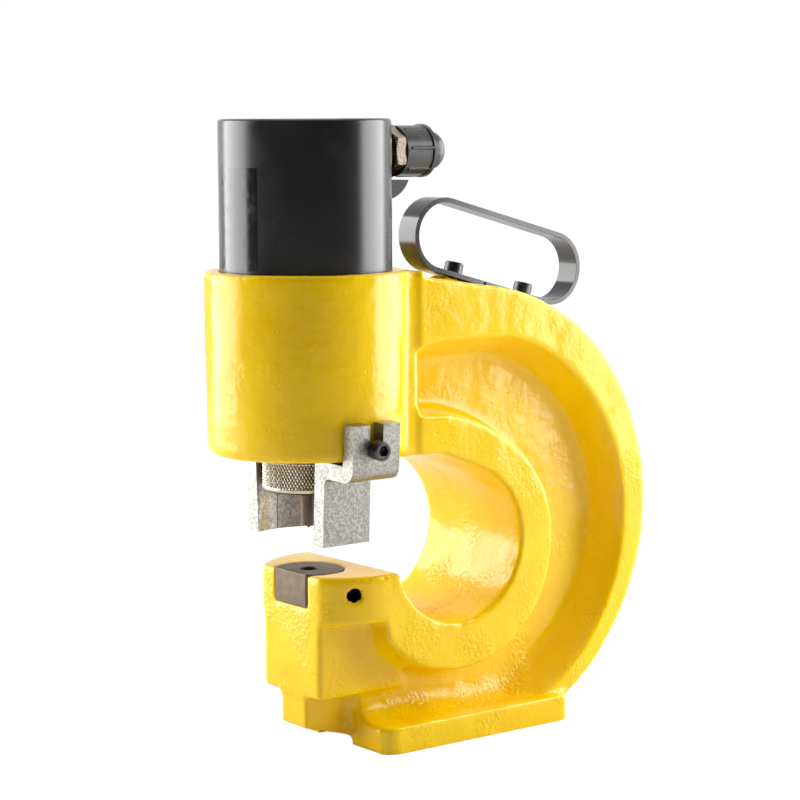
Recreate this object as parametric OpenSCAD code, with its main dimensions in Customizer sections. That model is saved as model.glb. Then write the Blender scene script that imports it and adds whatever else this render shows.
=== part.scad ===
// Hydraulic hole punch: a cast C-frame with a single-acting cylinder in its head.
// X runs from the punch towards the back of the C, Z is up, the near side faces -Y.
// The sizes are worked out about the punch's axis, and the finished piece is then
// moved so that the origin lies at the middle of the foot's underside.

/* [Throat and frame] */
// Depth of the throat, from the punch's axis to its back
throat_depth = 110; // [95:1:130]
// Radius of the round back of the throat
throat_r = 41.5; // [36:0.5:46]
// Height of the throat's centre above the jaw's top
throat_rise = 10.5; // [6:0.5:16]
// Height of the jaw's top above the base
jaw_z = 93; // [86:1:110]
// Height of the opening between the jaw and the head
opening_h = 61.5; // [58:0.5:70]
// Width across the sides of the C
frame_w = 81; // [74:1:88]
// Metal between the throat's back and the back of the C
back_wall = 89; // [80:1:100]
// Radius of the outer rim
rim_r = 122.4; // [116:0.2:130]
// Height of the rim's centre above the throat's centre
rim_rise = 12; // [8:0.5:16]
// Fall of the rim's straight top, in degrees
top_fall = 8; // [5:0.5:10]
// Width of the rim beside the recess
rim_band = 17.4; // [12:0.2:24]
// Width of the ring round the throat
ring_band = 21.8; // [16:0.2:26]
// Thickness of the web between rim and ring
web_t = 40; // [30:1:50]
// Width of the sloped wall under the rim
rim_slope = 9; // [4:0.5:14]
// Width of the steep wall under the ring
ring_slope = 2; // [0.5:0.5:4]

/* [Head] */
// Radius of the head at its top
head_r = 52; // [50:0.5:56]
// Amount by which the head narrows to its underside
head_draft = 0.7; // [0:0.1:1.2]
// Height of the head
head_h = 93; // [85:1:105]
// Thickness of the head's floor
head_floor = 14; // [13:0.5:18]
// Rounding of the head's lower edge
head_round = 3; // [1:0.5:5]

/* [Jaw, nose and toe] */
// Radius of the jaw's round end, seen from above
jaw_end_r = 40.5; // [37:0.5:42]
// Distance from the punch's axis to the front of the nose
nose_x = 12; // [10:0.5:14]
// Height of the nose's wide top part
jaw_block_h = 24.5; // [22:0.5:30]
// Width of the nose under the wide part
nose_w = 50; // [44:1:60]
// Height of the nose's underside above the base
nose_z = 28.5; // [24:0.5:34]
// Width of the toe's front, under the nose
toe_w = 21.8; // [18:0.2:26]
// Distance from the punch's axis to the front of the toe
toe_x = 10.8; // [4:0.2:11.5]
// Height of the toe's front edge above the base
toe_z = 11.9; // [8:0.1:16]

/* [Foot] */
// Distance from the punch's axis to the foot's front
foot_x = 15; // [10:0.5:22]
// Length of the foot
foot_l = 124; // [110:1:130]
// Width of the foot
foot_w = 92; // [86:1:120]
// Thickness of the foot
foot_t = 14; // [10:0.5:18]
// Rounding of the foot's corners
foot_corner = 9; // [4:0.5:14]
// Width of the channel under the foot, as wide as the toe's root
channel_w = 28.8; // [22:0.2:36]
// Height of the channel under the foot
channel_h = 4.9; // [3:0.1:6]
// Fillet between the foot and the web
foot_fillet = 12; // [6:0.5:16]

/* [Cylinder and ram] */
// Radius of the cylinder
barrel_r = 44; // [42:0.5:45]
// Height of the cylinder above the head
barrel_rise = 76.5; // [70:0.5:90]
// Radius of the cylinder's bore
bore_r = 33; // [30:0.5:36]
// Thickness of the cylinder's closed end
barrel_cap = 26; // [22:0.5:30]
// Thickness of the piston
piston_t = 30; // [26:1:36]
// Radius of the ram
ram_r = 18; // [16:0.5:20]
// Stroke of the ram
stroke = 24; // [20:0.5:26]
// Wire of the return spring
spring_wire = 6; // [4:0.5:7]
// Turns of the return spring
spring_turns = 9; // [7:1:11]

/* [Punch and die] */
// Radius of the punch's tip
punch_r = 4.5; // [3:0.1:5.5]
// Clearance between punch and die, all round
die_clearance = 0.3; // [0.2:0.05:0.5]
// Gap between the die and the resting punch
punch_gap = 23; // [20:0.5:26]
// Height of the centre point on the punch
pilot_h = 1.6; // [0.5:0.1:3]
// Radius of the die
die_r = 18; // [15:0.5:20]
// Height of the die
die_h = 17.2; // [12:0.2:22]
// Radius of the knurled nut
nut_r = 23.5; // [22:0.5:25]
// Height of the knurled nut
nut_h = 17; // [16:0.5:19]
// Gap between the nut and the head
nut_gap = 3; // [2:0.5:5]
// Floor of the nut, under the punch's head
nut_floor = 4.5; // [3:0.5:6]

/* [Strippers] */
// Width of a stripper along X
stripper_w = 29; // [24:1:34]
// Thickness of a stripper's plates
stripper_t = 8.2; // [7:0.2:9.5]
// Rise of a stripper above its screw
stripper_top = 12.5; // [10:0.5:16]
// Drop of a stripper below its screw
stripper_drop = 52.5; // [45:0.5:56]
// Distance from the punch's axis to a stripper's lower plate
stripper_in = 27; // [26:0.2:29]
// Lean of a stripper towards the punch, in degrees
stripper_lean = 2.5; // [0:0.5:4]
// Height of the stripper screws above the head's underside
stripper_screw_rise = 7.2; // [7:0.2:9]
// Distance by which a stripper slides down its slot
stripper_travel = 10; // [6:0.5:10]
// Width of a stripper's slot
slot_w = 8.2; // [7.2:0.2:9]

/* [Handle] */
// Radius of the loop's round ends, outside
loop_r = 20; // [17:0.5:24]
// Distance between the centres of the loop's round ends
loop_l = 78; // [70:1:90]
// Distance from the punch's axis to the loop's front
loop_x = 65.1; // [60:0.1:70]
// Tilt of the loop, in degrees
loop_tilt = 15.3; // [12:0.1:18]
// Height of the loop's pad above the rim's top
loop_rise = 1.6; // [0.5:0.1:4]
// Width of the strap
strap_w = 14.6; // [12:0.2:20]
// Thickness of the strap
strap_t = 2.6; // [2.2:0.1:4.5]
// Gap between the strap's two ends
strap_gap = 1.5; // [1:0.5:4]
// Distance between the strap's screws
strap_pitch = 50; // [44:1:52]

/* [Coupler] */
// Depth of the coupler's axis under the cylinder's top
coupler_drop = 17; // [15:0.5:18]
// Width of the coupler's hexagon across its flats
hex_af = 24; // [22:0.5:26]
// Length of the coupler's hexagon
hex_l = 7; // [6:0.1:9]
// Length of the neck between the cylinder and the hexagon
neck_l = 5.3; // [3:0.1:7]
// Radius of the dust cap
cap_r = 13.2; // [13:0.1:14.5]
// Length of the dust cap's skirt
cap_l = 16.8; // [14:0.2:18]
// Travel of the valve poppet
poppet_travel = 2.5; // [1.5:0.5:3]

/* [Screws] */
// Radius of the M6 screws' threads
m6_r = 3; // [2.5:0.1:3.2]
// Radius of the M6 screws' heads
m6_head_r = 5; // [4.5:0.1:5.5]
// Height of the M6 screws' heads
m6_head_h = 6; // [5:0.1:6.5]
// Radius of the die's set screw
set_r = 3.5; // [3:0.1:5]
// Distance along X from the punch's axis to the set screw
set_x = 2.8; // [0:0.1:8]
// Depth of the set screw's axis under the jaw's top
set_drop = 9; // [7:0.2:11]

/* [Hidden] */

$fn = 96;
// Overlap of cutting solids past the faces that they cut
past = 1;
// Radial clearance of running and seated fits
fit = 0.05;
// Clearance between soft or loose neighbours
loose = 0.3;

// Frame
half_w = frame_w / 2;
throat_z = jaw_z + throat_rise;
head_z = jaw_z + opening_h;
head_top = head_z + head_h;
rim_x = throat_depth + back_wall - rim_r;
rim_z = throat_z + rim_rise;
throat_x = throat_depth - throat_r;
ring_r = throat_r + ring_band;
recess_r = rim_r - rim_band;
web_half = web_t / 2;
// End of the rim's straight top, where it meets the round
top_x = rim_x + rim_r * sin(top_fall);
top_z = rim_z + rim_r * cos(top_fall);
// Depth of the straight part of the throat in front of its round back
mouth_x = throat_x - throat_r * 0.45;
// The arch's underside lies this far under the head's
arch_drop = 2;
// The recess ends this far under the rim's straight top
recess_top = rim_z + recess_r - rim_band * 0.6;
// The ring runs forward at this height, up to the head
ring_top = head_z + ring_band;
block_z = jaw_z - jaw_block_h;
jaw_end_x = sqrt(pow(jaw_end_r, 2) - pow(nose_w / 2 - loose, 2)) - nose_x;
foot_mid = foot_x + foot_l / 2;
// The arch starts in full width just behind the head's widest part
slab_x = head_r * 0.81;
slab_lip = 2.5;
// The lump under the jaw ends in a slant, from its top to its bottom
lump_top_x = throat_x * 0.38;
lump_end_x = throat_x * 0.66;

// Cylinder and ram
barrel_z = head_z + head_floor;
barrel_top = head_top + barrel_rise;
barrel_round = 2;
chamber_top = barrel_top - barrel_cap;
piston_top = chamber_top - past;
piston_z = piston_top - piston_t;
bush_r = ram_r + 6;
bush_flange_r = bore_r - 3;
bush_flange_t = 4;
wiper_h = 5;
wiper_r = bush_r - 2;
seal_h = 6;
seal_depth = 5;
ring_h = 8;
ring_depth = 2.5;
screw_head_r = 9;
screw_head_h = 8;
screw_r = 6;
spring_r = (ram_r + bore_r) / 2;
spring_z = barrel_z + bush_flange_t;
spring_l = piston_z - spring_z;

// Punch and die
nut_top = head_z - nut_gap;
nut_z = nut_top - nut_h;
punch_z = jaw_z + punch_gap;
punch_head_r = 8.5;
punch_head_h = 6;
nut_seat = nut_z + nut_floor;
ram_end = nut_seat + 0.5;
ram_seat = nut_seat + punch_head_h;
ram_thread_r = ram_r - 1;
die_hole_r = punch_r + die_clearance;
die_z = jaw_z - die_h;
set_z = jaw_z - set_drop;
set_seat = die_r + fit;
set_l = 10;

// Strippers: sizes in the bracket's own leaning frame, from its screw
seat_y = head_r - head_draft - 0.7;
screw_z = head_z + stripper_screw_rise;
plate_in = seat_y - stripper_in;
step_z = -stripper_screw_rise - loose - plate_in * sin(stripper_lean);
step_t = stripper_t;
screw_depth = 14;

// Handle: middle of the loop's straight underside lies on the rim's pad
loop_front = [loop_x + loop_r, 0, top_z + (top_x - loop_x) * tan(top_fall) + loop_r + loop_rise];
loop_screw_x = 15.7;
pad_w = strap_w - 3;

// Coupler
coupler_z = barrel_top - coupler_drop;
neck_x = barrel_r + neck_l;
hex_end = neck_x + hex_l;
port_r = 8;
port_depth = 12;
body_r = 10.5;
nose_end = hex_end + cap_l - 3;
valve_r = 5;
cap_wall = 2;
cap_bore = cap_r - cap_wall;
cap_flange_t = 2;
knob_r = 10.3;
knob_l = 11;
knob_round = 7;
cap_ribs = 7;
lug_w = 18;
lug_r = 17;

// Points of an arc, from angle a to angle b
function arc(c, r, a, b, n = 6) = [for (i = [0 : n]) c + r * [cos(a + (b - a) * i / n),
    sin(a + (b - a) * i / n)]];

// A cylinder along Y, centred on the frame's middle plane
module across(r, h, x, z) translate([x, 0, z]) rotate([90, 0, 0]) cylinder(r = r, h = h, center = true);

// A side view drawn in X and Z, given its width along Y
module side_view(points, w) rotate([90, 0, 0]) linear_extrude(w, center = true) polygon(points);

// Moves a piece from the punch's axis to the middle of the foot
module placed() translate([-foot_mid, 0, 0]) children();

// Both sides of the frame
module both_sides() for (side = [0, 1]) mirror([0, side, 0]) children();

// A socket screw along +Z, its seat at zero
module socket_screw(r, head_r, head_h, l) {
    difference() {
        union() {
            translate([0, 0, -l]) cylinder(r = r, h = l + past);
            cylinder(r = head_r, h = head_h - 0.6);
            translate([0, 0, head_h - 0.6]) cylinder(r1 = head_r, r2 = head_r - 0.6, h = 0.6);
        }
        translate([0, 0, head_h * 0.45]) cylinder(r = head_r * 0.58, h = head_h, $fn = 6);
    }
}

// An unbroken coil of wire along +Z between two heights
module coil(r, wire, h, turns) {
    sides = 6;
    rings = 8 * turns;
    rise = h - wire;
    function ring(i) = let (a = 360 * i / 8, z = wire / 2 + rise * i / rings)
        [for (k = [0 : sides - 1]) let (b = 360 * k / sides)
            [(r + wire / 2 * cos(b)) * cos(a), (r + wire / 2 * cos(b)) * sin(a), z + wire / 2 * sin(b)]];
    points = [for (i = [0 : rings]) each ring(i)];
    walls = [for (i = [0 : rings - 1], k = [0 : sides - 1]) let (n = (k + 1) % sides)
        each [[i * sides + k, (i + 1) * sides + k, (i + 1) * sides + n], [i * sides + k,
            (i + 1) * sides + n, i * sides + n]]];
    ends = [for (k = [1 : sides - 2]) each [[0, k, k + 1], [rings * sides, rings * sides + k + 1,
        rings * sides + k]]];
    echo(least_gap_between_turns = rise / turns - wire);
    polyhedron(points, concat(walls, ends));
}

// The C without its head: rim, arch, web and lower arm, before the recesses
module c_body() {
    intersection() {
        across(rim_r, frame_w, rim_x, rim_z);
        translate([throat_x, -frame_w, 0]) cube([2 * rim_r, 2 * frame_w, 3 * rim_r]);
    }
    lip_z = top_z + (top_x - slab_x - slab_lip) * tan(top_fall);
    side_view([[slab_x, head_z - arch_drop], [slab_x, head_top - fit], [slab_x + slab_lip, head_top - fit],
        [slab_x + 1.6 * slab_lip, lip_z], [top_x, top_z], [top_x, throat_z], [mouth_x, throat_z],
        [mouth_x, head_z - arch_drop]], frame_w);
    side_view([[head_r * 0.5, head_z - arch_drop], [head_r * 0.5, lip_z], [slab_x + past, lip_z],
        [slab_x + past, head_z - arch_drop]], 2 * head_r * 0.58);
    side_view([[foot_x, 0], [throat_x + past, 0], [throat_x + past, jaw_z], [jaw_end_x, jaw_z],
        [jaw_end_x, nose_z], [foot_x, nose_z]], frame_w);
}

// The nose: a round-ended jaw cut off flat, on a narrower lower part
module nose() {
    intersection() {
        union() {
            translate([jaw_end_x, 0, block_z]) cylinder(r = jaw_end_r, h = jaw_block_h);
            side_view([[-nose_x, nose_z], [-nose_x, block_z + past], [lump_top_x, block_z + past],
                [lump_end_x, nose_z]], nose_w);
        }
        translate([-nose_x, -frame_w, nose_z]) cube([nose_x + throat_x, 2 * frame_w, jaw_z - nose_z]);
    }
}

// The toe, which narrows and rises towards its front
module toe() intersection() {
    side_view([[-toe_x, toe_z], [foot_x + past, channel_h - past * (toe_z - channel_h) / (foot_x + toe_x)],
        [foot_x + past, nose_z + past], [-toe_x, nose_z + past]], frame_w);
    linear_extrude(jaw_z) polygon([[-toe_x, -toe_w / 2], [foot_x + past, -channel_w / 2], [foot_x + past,
        channel_w / 2],
        [-toe_x, toe_w / 2]]);
}

// The foot with its rounded corners, and the fillets that lead up to the web
module foot() {
    corners = [[foot_x + foot_corner, foot_corner], [foot_x + foot_l - foot_corner / 2, foot_corner / 2]];
    both_sides() {
        translate([foot_x + foot_corner, 0, 0]) cube([foot_l - 1.5 * foot_corner, foot_w / 2, foot_t]);
        translate([foot_x, 0, 0]) cube([foot_l, foot_w / 2 - foot_corner, foot_t]);
        for (c = corners) translate([c[0], foot_w / 2 - c[1], 0]) cylinder(r = c[1], h = foot_t);
    }
    both_sides() translate([foot_x, 0, foot_t]) rotate([90, 0, 90])
        linear_extrude(foot_l - past) polygon(concat([[0, -past], [0, foot_fillet]],
            arc([web_half + foot_fillet, foot_fillet], foot_fillet, 180, 270),
                [[web_half + foot_fillet, -past]]));
}

// One side's recess between the rim and the ring, open towards the near side
module recess() {
    depth = half_w - web_half;
    intersection() {
        difference() {
            translate([rim_x, -web_half, rim_z]) rotate([90, 0, 0]) cylinder(r1 = recess_r - rim_slope,
                r2 = recess_r, h = depth);
            translate([throat_x, -web_half + past, throat_z]) rotate([90, 0, 0])
                cylinder(r1 = ring_r + ring_slope, r2 = ring_r, h = depth + 2 * past);
            translate([0, -half_w - past, throat_z]) cube([throat_x, half_w + past, ring_top - throat_z]);
            translate([0, 0, throat_z]) cylinder(r = head_r + past, h = head_top);
            translate([0, -half_w - past, block_z]) cube([throat_x, half_w + past, throat_z - block_z]);
        }
        rotate([90, 0, 90]) linear_extrude(2 * rim_r) polygon([[past - web_half, 0], [past - web_half,
            recess_top - rim_slope],
            [-web_half, recess_top - rim_slope], [-half_w, recess_top],
                [-frame_w, recess_top + rim_slope], [-frame_w, 0]]);
        translate([0, -frame_w, foot_t]) cube([2 * rim_r, frame_w, 3 * rim_r]);
    }
}

// The opening of the C
module throat() {
    across(throat_r, 2 * frame_w, throat_x, throat_z);
    side_view([[-head_r, jaw_z], [throat_x, jaw_z], [throat_x, throat_z + throat_r],
        [mouth_x, head_z - arch_drop],
        [-head_r, head_z - arch_drop]], 2 * frame_w);
}

// Seat and tapped hole of one stripper, on the near side
module stripper_seat() at_stripper() {
    translate([-stripper_w / 2 - past, 0, step_z]) cube([stripper_w + 2 * past, head_r,
        stripper_top - step_z + 2 * past]);
    rotate([90, 0, 0]) cylinder(r = m6_r + fit, h = screw_depth);
}

module c_frame() color("gold") difference() {
    union() {
        difference() {
            c_body();
            both_sides() recess();
            throat();
        }
        translate([0, 0, head_z]) rotate_extrude() polygon(concat([[0, 0]],
            arc([head_r - head_draft - head_round, head_round], head_round, -90, 0), [[head_r, head_h],
                [0, head_h]]));
        difference() {
            nose();
            throat();
        }
        toe();
        foot();
        handle_pad();
    }
    translate([foot_x + past, -channel_w / 2, -past]) cube([foot_l, channel_w, channel_h + past]);
    translate([0, 0, barrel_z]) cylinder(r = barrel_r + fit, h = head_h);
    translate([0, 0, head_z + wiper_h]) cylinder(r = bush_r + fit, h = head_h);
    translate([0, 0, head_z - past]) cylinder(r = wiper_r + fit, h = head_floor);
    translate([0, 0, die_z]) cylinder(r = die_r + fit, h = die_h + past);
    translate([0, 0, -past]) cylinder(r = die_hole_r + 1.5, h = jaw_z);
    translate([set_x, -set_seat + past, set_z]) rotate([90, 0, 0]) cylinder(r = set_r + fit, h = frame_w);
    stripper_seat();
    mirror([0, 1, 0]) stripper_seat();
    for (x = loop_screws()) at_loop(x) translate([0, 0, -loop_r - screw_depth]) cylinder(r = m6_r + fit,
        h = screw_depth + past);
}

module cylinder_barrel() color([0.08, 0.08, 0.08]) difference() {
    union() {
        rotate_extrude() polygon(concat([[0, barrel_z], [barrel_r, barrel_z]],
            arc([barrel_r - barrel_round, barrel_top - barrel_round], barrel_round, 0, 90),
                [[0, barrel_top]]));
        intersection() {
            across(lug_r, lug_w, barrel_r, coupler_z - 8);
            translate([barrel_r / 2, -lug_w, coupler_z - barrel_r])
                cube([barrel_r, 2 * lug_w, barrel_r - hex_af * 0.62]);
        }
    }
    translate([0, 0, barrel_z - past]) cylinder(r = bore_r + fit, h = chamber_top - barrel_z + past);
    translate([0, 0, chamber_top - past]) cylinder(r = 3, h = coupler_z - chamber_top + past);
    translate([0, 0, coupler_z]) rotate([0, 90, 0]) cylinder(r = 3, h = barrel_r);
    translate([barrel_r - port_depth, 0, coupler_z]) rotate([0, 90, 0]) cylinder(r = port_r + fit,
        h = 2 * port_depth);
    translate([barrel_r - 1.2, 0, coupler_z]) rotate([0, 90, 0]) cylinder(r = port_r + 3, h = port_depth);
}

module ram_bush() color("peru") difference() {
    union() {
        translate([0, 0, head_z + wiper_h]) cylinder(r = bush_r, h = barrel_z - head_z - wiper_h);
        translate([0, 0, barrel_z]) cylinder(r = bush_flange_r, h = bush_flange_t);
    }
    translate([0, 0, head_z]) cylinder(r = ram_r + fit, h = head_h);
}

module rod_wiper() color("darkgreen") translate([0, 0, head_z]) difference() {
    cylinder(r = wiper_r, h = wiper_h);
    translate([0, 0, -past]) cylinder(r = ram_r + 2 * fit, h = head_h);
}

module piston() color("silver") translate([0, 0, piston_z]) difference() {
    cylinder(r = bore_r - fit, h = piston_t);
    translate([0, 0, -past]) cylinder(r = screw_r + 3, h = 8 + past);
    cylinder(r = screw_r + fit, h = piston_t);
    translate([0, 0, piston_t - screw_head_h]) cylinder(r = screw_head_r + 1, h = screw_head_h + past);
    for (g = [[4, ring_h, ring_depth], [piston_t - 12, seal_h, seal_depth]]) translate([0, 0, g[0]])
        difference() {
        cylinder(r = bore_r + past, h = g[1]);
        translate([0, 0, -past]) cylinder(r = bore_r - g[2], h = g[1] + 2 * past);
    }
}

// A ring in one of the piston's grooves
module groove_ring(z, h, depth) translate([0, 0, piston_z + z]) difference() {
    cylinder(r = bore_r, h = h);
    translate([0, 0, -past]) cylinder(r = bore_r - depth + fit, h = h + 2 * past);
}

module piston_wear_ring() color("saddlebrown") groove_ring(4, ring_h, ring_depth);

module piston_seal() color("forestgreen") difference() {
    groove_ring(piston_t - 12, seal_h, seal_depth);
    translate([0, 0, piston_z + piston_t - 12 + seal_h * 0.55]) difference() {
        cylinder(r = bore_r - seal_depth * 0.3, h = seal_h);
        translate([0, 0, -past]) cylinder(r = bore_r - seal_depth * 0.7, h = seal_h + 2 * past);
    }
}

module ram() color("lightgray") difference() {
    union() {
        translate([0, 0, nut_top]) cylinder(r = ram_r, h = piston_z - nut_top);
        translate([0, 0, ram_end]) cylinder(r = ram_thread_r, h = nut_top - ram_end + past);
        translate([0, 0, piston_z - past]) cylinder(r = screw_r + 3 - fit, h = 8 + past);
    }
    translate([0, 0, piston_z - 18]) cylinder(r = screw_r - 1 + fit, h = 40);
    translate([0, 0, ram_end - past]) cylinder(r = punch_head_r + fit, h = ram_seat - ram_end + past);
}

module piston_screw() color("dimgray") translate([0, 0, piston_top - screw_head_h])
    socket_screw(screw_r - 1, screw_head_r, screw_head_h - past, piston_t);

module return_spring() color("slategray") translate([0, 0, spring_z]) coil(spring_r, spring_wire,
    spring_l, spring_turns);

module punch_nut() color("silver") difference() {
    translate([0, 0, nut_z]) rotate_extrude() polygon(concat([[0, 0]], arc([nut_r - 2.5, 2.5], 2.5, -90, 0),
        [[nut_r, nut_h - 1], [nut_r - 1, nut_h], [0, nut_h]]));
    translate([0, 0, nut_seat]) cylinder(r = ram_thread_r + fit, h = nut_h);
    translate([0, 0, nut_z - past]) cylinder(r = punch_r + 1, h = nut_h);
}

module punch() color([0.35, 0.33, 0.32]) {
    translate([0, 0, punch_z]) cylinder(r = punch_r, h = nut_seat - punch_z + past);
    translate([0, 0, nut_seat]) cylinder(r = punch_head_r, h = punch_head_h);
    translate([0, 0, punch_z - pilot_h]) cylinder(r1 = 0.2, r2 = 1.6, h = pilot_h);
}

module die() color([0.42, 0.38, 0.34]) difference() {
    translate([0, 0, die_z]) cylinder(r = die_r, h = die_h);
    translate([-nose_x - die_r, -die_r, 0]) cube([die_r, 2 * die_r, 2 * jaw_z]);
    translate([0, 0, die_z - past]) cylinder(r = die_hole_r, h = die_h + 2 * past);
}

module die_set_screw() color([0.1, 0.1, 0.1]) translate([set_x, -set_seat, set_z]) rotate([90, 0, 0])
    difference() {
    cylinder(r = set_r, h = set_l);
    translate([0, 0, set_l * 0.5]) cylinder(r = set_r * 0.55, h = set_l, $fn = 6);
}

// The near stripper's frame: its screw's axis at zero, +Y outwards, leaning in below
module at_stripper() translate([0, -seat_y, screw_z]) rotate([stripper_lean, 0, 0]) mirror([0, 1, 0])
    children();

// A stripper bracket in its own frame, from its side view
module stripper() difference() {
    rotate([90, 0, 90]) linear_extrude(stripper_w, center = true) polygon(concat(
        [[fit, stripper_top], [fit, step_z], [-plate_in, step_z], [-plate_in, -stripper_drop],
            [-plate_in + stripper_t, -stripper_drop]],
        arc([-plate_in + stripper_t + 4, step_z - step_t - 4], 4, 180, 90),
        arc([stripper_t - 7, step_z - step_t + 7], 7, -90, 0),
        [[stripper_t, stripper_top]]));
    rotate([90, 0, 0]) cylinder(r = slot_w / 2, h = 4 * stripper_t, center = true);
    translate([-slot_w / 2, -stripper_t, 0]) cube([slot_w, 3 * stripper_t, 2 * stripper_top]);
}

// The near stripper with the hollow that clears the nut
module seated_stripper() difference() {
    at_stripper() stripper();
    translate([0, 0, head_z - 2 * stripper_drop]) cylinder(r = stripper_in + 1.3, h = 2 * stripper_drop);
    translate([0, -stripper_in - 1.3, head_z - 2 * stripper_drop]) cylinder(r = 0.4,
        h = 2 * stripper_drop, $fn = 16);
}

module stripper_near() color("lightsteelblue") seated_stripper();

module stripper_far() color("lightsteelblue") mirror([0, 1, 0]) seated_stripper();

module stripper_screws() color([0.2, 0.2, 0.19]) both_sides() at_stripper()
    translate([0, stripper_t + fit, 0]) rotate([-90, 0, 0])
    socket_screw(m6_r, m6_head_r, m6_head_h, stripper_t + screw_depth - 2);

// The loop's frame: its front centre at zero, X along its straight sides
module at_loop(x) translate(loop_front) rotate([0, loop_tilt, 0]) translate([x, 0, 0]) children();

// Places of the handle's screws along the loop
function loop_screws() = [loop_screw_x, loop_screw_x + strap_pitch];

// The raised pad on the rim that carries the strap
module handle_pad() intersection() {
    at_loop(loop_screw_x - 10) translate([0, -pad_w / 2, -loop_r - 30]) cube([strap_pitch + 18, pad_w, 30]);
    union() {
        translate([0, -pad_w, throat_z]) cube([throat_depth + back_wall, 2 * pad_w, 2 * rim_r]);
    }
}

module handle_strap() color([0.25, 0.25, 0.25]) difference() {
    at_loop(0) union() {
        rotate([90, 0, 0]) cylinder(r = loop_r, h = strap_w, center = true);
        translate([loop_l, 0, 0]) rotate([90, 0, 0]) cylinder(r = loop_r, h = strap_w, center = true);
        translate([0, -strap_w / 2, -loop_r]) cube([loop_l, strap_w, 2 * loop_r]);
    }
    at_loop(0) union() {
        rotate([90, 0, 0]) cylinder(r = loop_r - strap_t, h = 2 * strap_w, center = true);
        translate([loop_l, 0, 0]) rotate([90, 0, 0]) cylinder(r = loop_r - strap_t, h = 2 * strap_w,
            center = true);
        translate([0, -strap_w, strap_t - loop_r]) cube([loop_l, 2 * strap_w, 2 * (loop_r - strap_t)]);
    }
    at_loop(loop_screw_x + strap_pitch / 3) translate([0, -strap_w, -loop_r - past])
        cube([strap_gap, 2 * strap_w, 2 * strap_t]);
    for (x = loop_screws()) at_loop(x) translate([0, 0, -loop_r - past]) cylinder(r = m6_r + loose,
        h = loop_r);
}

module handle_screws() color([0.25, 0.24, 0.23]) for (x = loop_screws()) at_loop(x)
    translate([0, 0, strap_t - loop_r])
    socket_screw(m6_r, m6_head_r, m6_head_h, strap_t + screw_depth - 2);

// Along the coupler's axis, from the punch's axis
module along_coupler(x) translate([x, 0, coupler_z]) rotate([0, 90, 0]) children();

module coupler_adapter() color([0.25, 0.22, 0.2]) difference() {
    union() {
        along_coupler(barrel_r - port_depth + past) cylinder(r = port_r, h = port_depth + neck_l - past);
        along_coupler(barrel_r) cylinder(r = port_r + 2, h = neck_l);
        along_coupler(neck_x) cylinder(r = port_r - 2, h = hex_l - 1);
    }
    along_coupler(barrel_r - 2 * port_depth) cylinder(r = 3, h = 4 * port_depth);
}

module coupler_seal() color("black") difference() {
    along_coupler(barrel_r - 1.2) cylinder(r = port_r + 2.5, h = 1.2);
    along_coupler(barrel_r - port_depth) cylinder(r = port_r + fit, h = 2 * port_depth);
}

module coupler_body() color("wheat") difference() {
    union() {
        intersection() {
            along_coupler(neck_x) cylinder(r = hex_af / sqrt(3), h = hex_l, $fn = 6);
            along_coupler(neck_x) rotate_extrude() polygon([[0, 0], [hex_af / 2 - 0.4, 0],
                [hex_af / sqrt(3), 1.4],
                [hex_af / sqrt(3), hex_l - 1], [hex_af / 2, hex_l], [0, hex_l]]);
        }
        along_coupler(neck_x + past) cylinder(r = body_r, h = hex_l - past + (nose_end - hex_end) * 0.6);
        along_coupler(neck_x + past) cylinder(r = body_r - 2, h = nose_end - neck_x - past);
    }
    along_coupler(neck_x - past) cylinder(r = port_r - 2 + fit, h = hex_l);
    along_coupler(neck_x) cylinder(r = valve_r, h = nose_end - neck_x - 2);
    along_coupler(neck_x) cylinder(r = valve_r - 2, h = 2 * cap_l);
}

module coupler_poppet() color("silver") {
    along_coupler(nose_end - 5.5) cylinder(r = valve_r - loose, h = 3);
    along_coupler(nose_end - 3) cylinder(r = valve_r - 2.3, h = 2.6);
}

module coupler_poppet_spring() color("slategray") along_coupler(hex_end - past)
    coil(valve_r - 1.2, 1, nose_end - 5.5 - poppet_travel - loose - hex_end + past, 5);

module dust_cap() color([0.1, 0.1, 0.1]) difference() {
    union() {
        along_coupler(hex_end + fit) cylinder(r = cap_r, h = cap_l);
        along_coupler(hex_end + cap_l) cylinder(r = cap_r + 0.8, h = cap_flange_t);
        along_coupler(hex_end + cap_l) rotate_extrude() polygon(concat([[0, 0], [knob_r, 0]],
            arc([knob_r - knob_round, cap_flange_t + knob_l - knob_round], knob_round, 0, 90),
                [[0, cap_flange_t + knob_l]]));
        for (k = [1 : cap_ribs]) along_coupler(hex_end + 2.6) rotate([0, 0, 360 * k / cap_ribs + 160])
            translate([cap_r - 0.4, 0, 0])
            cylinder(r = 1, h = cap_l - 2.6 + past / 2, $fn = 24);
    }
    along_coupler(hex_end - past) cylinder(r = cap_bore, h = cap_l - 1 + past);
}

placed() c_frame();
placed() cylinder_barrel();
placed() ram_bush();
placed() rod_wiper();
placed() piston();
placed() piston_wear_ring();
placed() piston_seal();
placed() ram();
placed() piston_screw();
placed() return_spring();
placed() punch_nut();
placed() punch();
placed() die();
placed() die_set_screw();
placed() stripper_near();
placed() stripper_far();
placed() stripper_screws();
placed() handle_strap();
placed() handle_screws();
placed() coupler_adapter();
placed() coupler_seal();
placed() coupler_body();
placed() coupler_poppet();
placed() coupler_poppet_spring();
placed() dust_cap();
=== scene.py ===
"""Looks of a portable hydraulic hole punch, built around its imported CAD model.

Everything is in metres, in the CAD model's frame: the origin is the middle of the foot's
underside, +Z is up, +X runs to the back of the C, and the near side faces -Y.
"""

import logging
import math
from collections.abc import Iterable
from dataclasses import dataclass, field
from enum import Enum

import bmesh
import bpy
from mathutils import Matrix, Vector, noise


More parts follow.
